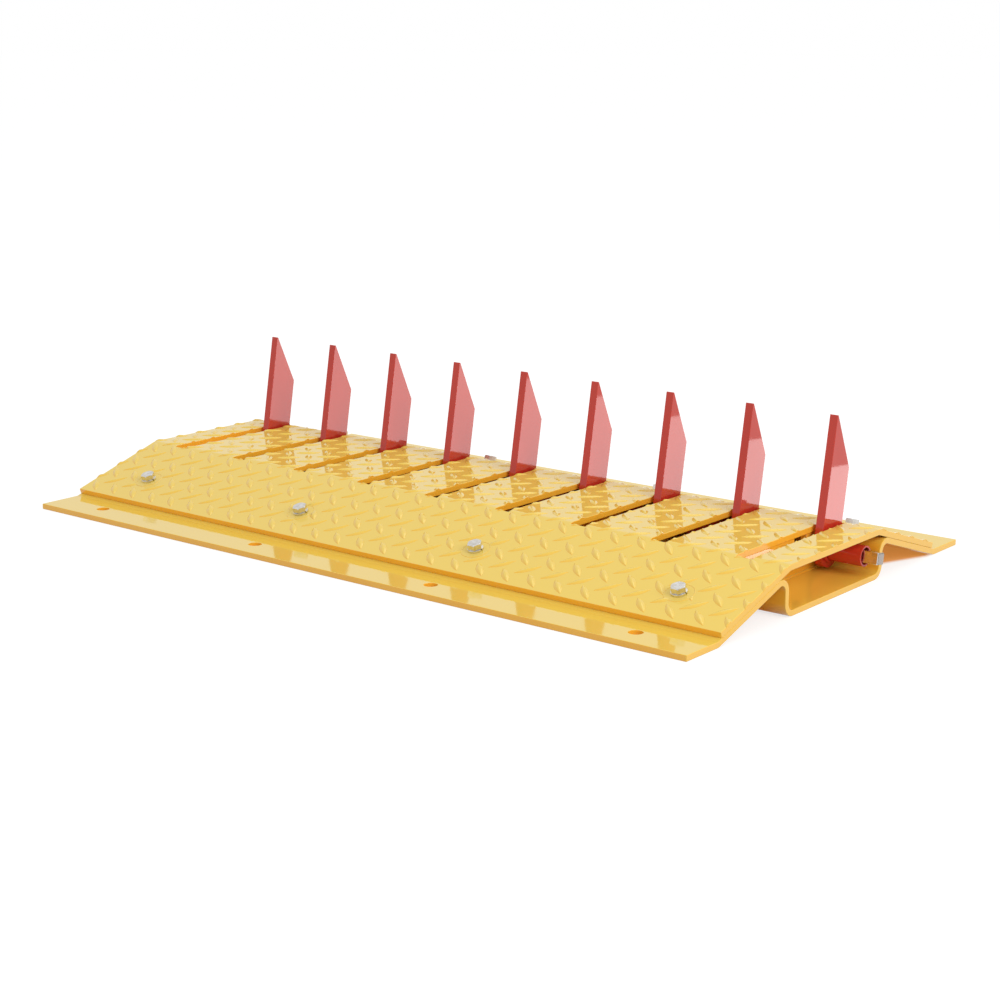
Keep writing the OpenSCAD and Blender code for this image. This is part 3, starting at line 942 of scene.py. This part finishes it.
@dataclass(frozen=True)
class WeldBeads:
    """Weld beads with their ripples: along the bearing plates, and round the tube beside each spike."""

    layout: Layout = LAYOUT
    bead_r: float = 1.9
    bead_out: float = 0.95
    ripple: float = 0.13
    ripple_l: float = 2.4
    ripple_power: float = 0.6
    ripple_middle: float = 0.5
    taper_l: float = 2.0
    blunt_l: float = 0.3
    step: float = 0.6
    sides: int = 10
    plate_xs: tuple[float, ...] = (-390.975, -152.4, 152.4, 390.975)
    plate_t: float = 8.0
    wall_y: float = 90.0
    floor_ends: Span = (-80.0, 80.0)
    wall_ends: Span = (16.5, 31.0)
    spike_t: float = 9.5
    tube_r: float = 11.1
    ring_steps: int = 96
    ring_ripples: int = 26

    def ripple_at(self, run: float) -> float:
        """Share by which the bead swells at a distance along it."""
        share = run / self.ripple_l % 1
        return 1 + self.ripple * (share ** self.ripple_power - self.ripple_middle)

    def straight(self, start: Point, end: Point, out: Point) -> Shell:
        """Build a straight bead with tapered ends.

        Args:
            start: Its first end.
            end: Its other end.
            out: Direction out of the corner that it fills.

        Returns:
            Its points and faces.
        """
        first, last = Vector(start), Vector(end)
        whole = (last - first).length
        steps = ceil(whole / self.step)
        line, radii = [], []
        for k in range(steps + 1):
            run = whole * k / steps
            taper = sqrt(min(1, (min(run, whole - run) + self.blunt_l) / self.taper_l))
            line.append(tuple(first.lerp(last, k / steps)))
            radii.append(self.bead_r * taper * self.ripple_at(run))
        return tube_form(line, [out] * len(line), radii, self.sides)

    def ring(self, x: float) -> Shell:
        """Build a bead round the tube.

        Args:
            x: Place of its middle along the strip.

        Returns:
            Its points and faces.
        """
        line, outs, radii = [], [], []
        around = self.tube_r + self.bead_out
        for k in range(self.ring_steps):
            angle = 2 * pi * k / self.ring_steps
            run = k * self.ring_ripples * self.ripple_l / self.ring_steps
            out = (0.0, cos(angle), sin(angle))
            line.append((x, self.layout.shaft_y + around * out[1], self.layout.shaft_z + around * out[2]))
            outs.append(out)
            radii.append(self.bead_r * self.ripple_at(run))
        return tube_form(line, outs, radii, self.sides, ring=True)

    def build_plate_beads(self) -> Piece:
        """Build the beads that hold the bearing plates in the trough.

        Returns:
            Their object.
        """
        stock = Stock()
        for plate_x in self.plate_xs:
            for way in (-1, 1):
                x = plate_x + way * self.plate_t / 2
                floor_line = [(x, y, self.layout.trough_floor_z) for y in self.floor_ends]
                stock.add(*self.straight(*floor_line, (way, 0, 1)))
                for side in (-1, 1):
                    wall_line = [(x, side * self.wall_y, z) for z in self.wall_ends]
                    stock.add(*self.straight(*wall_line, (way, -side, 0)))
        return stock.make("bearing_plate_welds")

    def build_spike_beads(self) -> Piece:
        """Build the beads that hold the spikes on the tube.

        Returns:
            Their object.
        """
        stock = Stock()
        off = self.spike_t / 2 + self.bead_out
        for x in self.layout.spike_xs:
            for way in (-1, 1):
                stock.add(*self.ring(x + way * off))
        return stock.make("spike_welds")


@dataclass(frozen=True)
class SoftEdges:
    """Softened edges of a solid, as a coat of paint or a deburring leaves them."""

    width: float
    segments: int = 2
    sharpest: float = radians(28)
    joined_within: float = 0.005
    flat_within: float = radians(0.3)
    face_weight: int = 90

    def apply(self, obj: Piece) -> None:
        """Soften the solid with modifiers, which leave its own points and faces as they are.

        Args:
            obj: The solid.
        """
        weld = obj.modifiers.new("joined", "WELD")
        weld.merge_threshold = self.joined_within * MM
        flats = obj.modifiers.new("flats", "DECIMATE")
        flats.decimate_type = "DISSOLVE"
        flats.angle_limit = self.flat_within
        bevel = obj.modifiers.new("soft_edges", "BEVEL")
        bevel.width = self.width * MM
        bevel.segments = self.segments
        bevel.use_clamp_overlap = False
        bevel.limit_method = "ANGLE"
        bevel.angle_limit = self.sharpest
        shading = obj.modifiers.new("flat_faces", "WEIGHTED_NORMAL")
        shading.weight = self.face_weight
        shading.keep_sharp = False
        for polygon in obj.data.polygons:
            polygon.use_smooth = True


@dataclass(frozen=True)
class Solids:
    """The strip's own solids, each with its finish and its soft edges."""

    edges: dict[Slot, SoftEdges] = field(default_factory=lambda: {
        Slot.YELLOW_PAINT: SoftEdges(0.7, segments=3),
        Slot.RED_PAINT: SoftEdges(0.45, segments=3),
        Slot.BRIGHT_ZINC: SoftEdges(0.25),
        Slot.PRIMED_STEEL: SoftEdges(0.4),
        Slot.BRONZE: SoftEdges(0.25),
        Slot.BLACK_OXIDE: SoftEdges(0.12),
    })
    own_edges: dict[str, SoftEdges] = field(default_factory=lambda: {"coupling_bar": SoftEdges(0.9)})

    def dress(self, shop: PaintShop) -> None:
        """Dress every solid by the slot that the record gives it.

        Args:
            shop: The paint shop.
        """
        for part in frame["record"]["subparts"]:
            obj, slot = frame["nodes"][part["node"]], Slot(part["material_slot"])
            shop.coat(obj, slot)
            soft = self.own_edges.get(part["node"]) or self.edges.get(slot)
            if soft is not None:
                soft.apply(obj)
            LOG.info("%s: %s", part["node"], slot.value)


@dataclass(frozen=True)
class Viewpoint:
    """The camera: where it stands, and how it looks."""

    place: Point = (1393.157, -1690.104, 558.707)
    azimuth: float = radians(39.0033)
    elevation: float = radians(13.5491)
    roll: float = radians(0.0854)
    lens: float = 71.028
    sensor: float = 36.0
    nearest: float = 50.0
    farthest: float = 100000.0

    def build(self) -> None:
        """Set up the camera as the scene's own."""
        az, el = self.azimuth, self.elevation
        back = Vector((sin(az) * cos(el), -cos(az) * cos(el), sin(el)))
        right = Vector((cos(az), sin(az), 0))
        up = back.cross(right)
        turned_right = cos(self.roll) * right + sin(self.roll) * up
        turned_up = cos(self.roll) * up - sin(self.roll) * right
        lens = bpy.data.cameras.new("camera")
        lens.sensor_fit = "HORIZONTAL"
        lens.sensor_width = self.sensor
        lens.lens = self.lens
        lens.clip_start, lens.clip_end = self.nearest * MM, self.farthest * MM
        obj = bpy.data.objects.new("camera", lens)
        axes = Matrix((turned_right, turned_up, back)).transposed().to_4x4()
        obj.matrix_world = Matrix.Translation(Vector(self.place) * MM) @ axes
        bpy.context.scene.collection.objects.link(obj)
        bpy.context.scene.camera = obj


@dataclass(frozen=True)
class Softbox:
    """A soft rectangular lamp that points at a place on the strip."""

    name: str
    place: Point
    aim: Point
    power: float
    size: Span = (2400.0, 1600.0)
    mirrored: bool = True

    def build(self) -> None:
        """Set up the lamp, out of the camera's sight."""
        lamp = bpy.data.lights.new(self.name, "AREA")
        lamp.shape = "RECTANGLE"
        lamp.size, lamp.size_y = (side * MM for side in self.size)
        lamp.energy = self.power
        obj = bpy.data.objects.new(self.name, lamp)
        obj.location = Vector(self.place) * MM
        obj.rotation_euler = (Vector(self.aim) - Vector(self.place)).to_track_quat("-Z", "Y").to_euler()
        obj.visible_camera, obj.visible_glossy = False, self.mirrored
        bpy.context.scene.collection.objects.link(obj)


def lay_flat(name: str, corners: list[Point], material: bpy.types.Material) -> Piece:
    """Lay a flat piece of the stage.

    Args:
        name: Its name.
        corners: Its corners in order.
        material: Its material.

    Returns:
        The new object.
    """
    mesh = bpy.data.meshes.new(name)
    mesh.from_pydata([tuple(v * MM for v in c) for c in corners], [], [tuple(range(len(corners)))])
    mesh.materials.append(material)
    obj = bpy.data.objects.new(name, mesh)
    bpy.context.scene.collection.objects.link(obj)
    return obj


@dataclass(frozen=True)
class PaleFloor:
    """Floor that shows white in the open, keeps the strip's shadow, is painted brown under it as painted shade
    and is clear from below. Its warm colour there also sends a painted warm bounce onto the strip.

    Each span says how far from the middle of the strip a painted shade ends, and from where inwards it is full.
    The light on the strip meets the painted shade up to shaded_x, and the camera the one up to the slanting
    dark_x.
    """

    half: float = 30000.0
    level: float = -0.1
    colour: Colour = (0.38, 0.38, 0.38)
    glow: Colour = (0.72, 0.72, 0.72)
    bounce_colour: Colour = (0.55, 0.55, 0.55)
    # Painted shade under the strip: a warm colour, which also sends a painted warm bounce onto the strip, and a
    # brown glow.
    painted_shade_colour: Colour = (0.62, 0.42, 0.25)
    painted_shade_glow: Colour = (0.46, 0.18, 0.036)
    under_x: Span = (457.0, 450.0)
    under_y: Span = (266.0, 260.0)
    shaded_x: Span = (456.0, 428.0)
    dark_x: Span = (378.0, 369.0)
    dark_slant: float = 0.393

    def in_open(self, board: NodeBoard, ends: Span, slant: float = 0.0) -> Socket:
        """Tell the open floor from the floor under the strip.

        Args:
            board: The tree to build on.
            ends: How far along the strip the shade ends, and from where inwards it is full.
            slant: How far the shade reaches further to the ends for each step to the rear.

        Returns:
            A socket that is 1 on the open floor and fades to 0 under the strip.
        """
        place = board.parts(board.add("ShaderNodeTexCoord").outputs["Object"])
        along, across = (board.calc(Calc.SIZE, place[axis]) for axis in "XY")
        slanted = board.calc(Calc.SUBTRACT, along, board.calc(Calc.MULTIPLY, place["Y"], slant))
        spans = ((slanted, ends), (along, self.under_x), (across, self.under_y))
        return board.largest([board.spread(off, inner * MM, edge * MM) for off, (edge, inner) in spans])

    def build(self) -> None:
        """Lay the floor."""
        material, board = new_material("pale_floor")
        seen = board.rays(Ray.CAMERA, Ray.MIRRORED, Ray.LET_THROUGH)
        beside = self.in_open(board, self.shaded_x)
        bright = self.in_open(board, self.dark_x, self.dark_slant)
        open_share = board.mix(board.rays(Ray.CAMERA), beside, bright)
        pale = board.mix(seen, self.bounce_colour, self.colour)
        # Under the strip the floor's colour and glow are painted shade and painted warm bounce light.
        matt = board.add("ShaderNodeBsdfDiffuse", board.mix(open_share, self.painted_shade_colour, pale))
        glow = board.add("ShaderNodeEmission", board.mix(open_share, self.painted_shade_glow, self.glow), seen)
        lit = board.add("ShaderNodeAddShader", matt.outputs[0], glow.outputs[0])
        clear = board.add("ShaderNodeBsdfTransparent")
        from_below = board.add("ShaderNodeNewGeometry").outputs["Backfacing"]
        both_sides = board.add("ShaderNodeMixShader", from_below, lit.outputs[0], clear.outputs[0])
        board.add("ShaderNodeOutputMaterial", both_sides.outputs[0])
        corners = ((-1, -1), (1, -1), (1, 1), (-1, 1))
        lay_flat("floor", [(x * self.half, y * self.half, self.level) for x, y in corners], material)


@dataclass(frozen=True)
class GlowingTable:
    """Bright table behind the strip, which only shows as a sheen on the spikes and the bearing plates."""

    glow: float = 2.6
    level: float = 1.0
    corners: tuple[Span, ...] = ((-460, 285), (475, 285), (475, -100), (899, -100), (500, 975), (-460, 975))
    sheen_on: tuple[str, ...] = ("spike_", "bearing_plate_")

    def build(self) -> None:
        """Lay the table, out of the sight of all but mirrored rays."""
        material, board = new_material("glowing_table")
        glow = board.add("ShaderNodeEmission", named={"Strength": self.glow})
        clear = board.add("ShaderNodeBsdfTransparent")
        both = board.add("ShaderNodeAddShader", glow.outputs[0], clear.outputs[0])
        board.add("ShaderNodeOutputMaterial", both.outputs[0])
        table = lay_flat("glowing_table", [(x, y, self.level) for x, y in self.corners], material)
        table.visible_camera = table.visible_diffuse = table.visible_shadow = False
        table.visible_transmission = table.visible_volume_scatter = False
        shining = bpy.data.collections.new("table_sheen")
        for name, obj in frame["nodes"].items():
            if name.startswith(self.sheen_on):
                shining.objects.link(obj)
        table.light_linking.receiver_collection = shining


@dataclass(frozen=True)
class Surround:
    """Even light from all round, which shows as plain white to the camera."""

    level: float = 0.74
    mirrored: float = 0.85

    def build(self) -> None:
        """Set the light as the scene's world."""
        world = bpy.data.worlds.new("surround")
        bpy.context.scene.world = world
        world.use_nodes = True
        board = NodeBoard(world.node_tree)
        straight = board.rays(Ray.CAMERA, Ray.LET_THROUGH)
        mirrored = board.calc(Calc.MULTIPLY, board.rays(Ray.MIRRORED), self.mirrored)
        strength = board.calc(Calc.LARGER, board.largest([straight, mirrored]), self.level)
        sky = board.add("ShaderNodeBackground", (1, 1, 1, 1), strength)
        board.add("ShaderNodeOutputWorld", sky.outputs[0])


@dataclass(frozen=True)
class Studio:
    """White studio: a pale floor, a glowing table behind, an even surround, and lamps above and at the ends."""

    stage: tuple[PaleFloor | GlowingTable | Surround, ...] = (PaleFloor(), GlowingTable(), Surround())
    lamps: tuple[Softbox, ...] = (
        Softbox("top_softbox", place=(0, 1500, 2600), aim=(0, 0, 30), power=10),
        Softbox("end_softbox", place=(3180, -600, 1920), aim=(300, 40, 25), power=52, mirrored=False),
        Softbox("left_softbox", place=(-3000, -100, 1300), aim=(-200, 0, 30), power=8, mirrored=False),
    )

    def build(self) -> None:
        """Set up the stage, the lamps and the plain view of colours."""
        for item in (*self.stage, *self.lamps):
            item.build()
        bpy.context.scene.view_settings.view_transform = "Standard"


def settle(obj: Piece, slot: Slot, shop: PaintShop, body: Body | None = None) -> None:
    """Finish a new piece and say what it rides on.

    Args:
        obj: The piece.
        slot: Its finish.
        shop: The paint shop.
        body: The body that it rides on, or None to leave it on no body.
    """
    shop.coat(obj, slot)
    if body is not None:
        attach(obj, body.value)
    LOG.info("%s: %d faces, %s", obj.name, len(obj.data.polygons), slot.value)


def main() -> None:
    """Dress the strip and set up the studio."""
    logging.basicConfig(level=logging.INFO, format="%(message)s")
    shop = PaintShop()
    Viewpoint().build()
    Solids().dress(shop)
    tread = Tread(CoverTop.of_solid())
    settle(tread.build(), Slot.YELLOW_PAINT, shop, Body.BASE)
    settle(SpotRings(tread).build(), Slot.YELLOW_PAINT, shop, Body.BASE)
    for way in (-1, 1):
        settle(TorsionSpring(way).build(), Slot.SPRING_STEEL, shop)
    beads = WeldBeads()
    settle(beads.build_plate_beads(), Slot.YELLOW_PAINT, shop, Body.BASE)
    settle(beads.build_spike_beads(), Slot.RED_PAINT, shop, Body.SHAFT)
    Studio().build()


if __name__ == "__main__":
    main()
